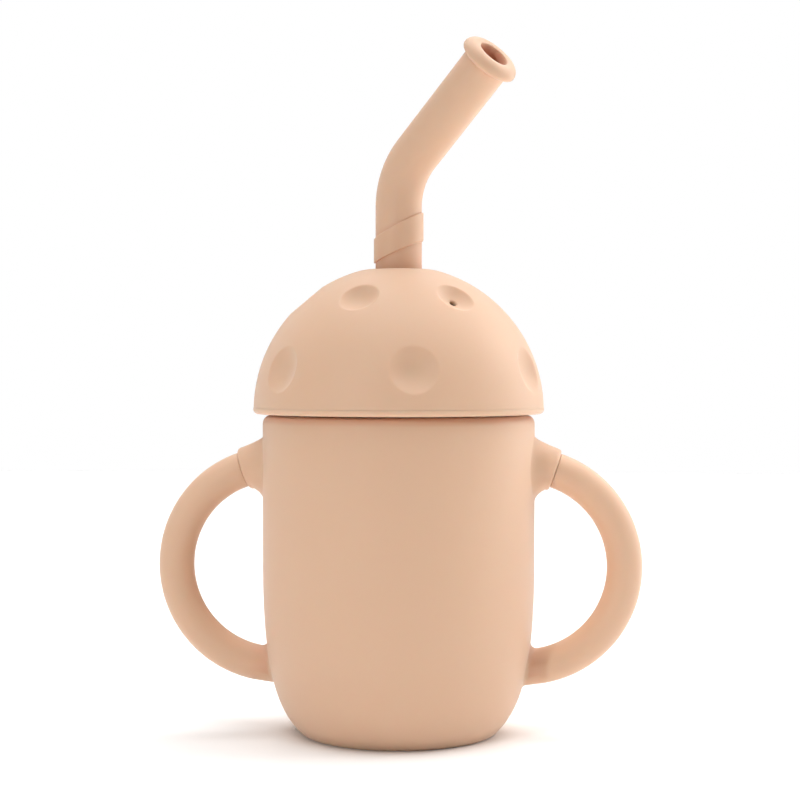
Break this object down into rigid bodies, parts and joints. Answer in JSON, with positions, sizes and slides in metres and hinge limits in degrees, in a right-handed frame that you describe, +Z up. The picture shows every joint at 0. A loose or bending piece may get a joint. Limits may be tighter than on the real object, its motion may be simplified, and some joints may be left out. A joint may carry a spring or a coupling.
{
  "type": "straw cup",
  "caption": "Soft straw cup with ring handles, a dimpled domed lid with a stopper, and a bent drinking straw that turns and pulls out.",
  "frame": {"origin": "centre of the cup's foot, on the surface it stands on", "axes": "+Z up along the cup's axis, +X towards the right handle, -Y the front"},
  "size_m": [0.1288, 0.077, 0.1818],
  "materials": {
    "cup_silicone": "matt soft-touch silicone",
    "handle_silicone": "matt soft-touch silicone",
    "lid_silicone": "matt soft-touch silicone",
    "straw_silicone": "matt soft-touch silicone"
  },
  "bodies": {
    "cup": {"cup_body": "cup_silicone", "left_handle": "handle_silicone", "right_handle": "handle_silicone"},
    "lid": {"lid_cap": "lid_silicone", "lid_plug": "lid_silicone"},
    "dip_straw": {"dip_straw": "straw_silicone"},
    "mouth_straw": {"mouth_straw": "straw_silicone"}
  },
  "joints": [
    {"name": "lid_lift", "type": "slide", "parent": "cup", "child": "lid", "axis": [0, 0, 1], "range_m": [0, 0.1]},
    {"name": "straw_pull", "type": "slide", "parent": "lid", "child": "dip_straw", "axis": [0, 0, 1], "range_m": [0, 0.12]},
    {"name": "straw_turn", "type": "hinge", "parent": "dip_straw", "child": "mouth_straw", "pos_m": [0, 0, 0.11], "axis": [0, 0, 1], "continuous": true}
  ]
}
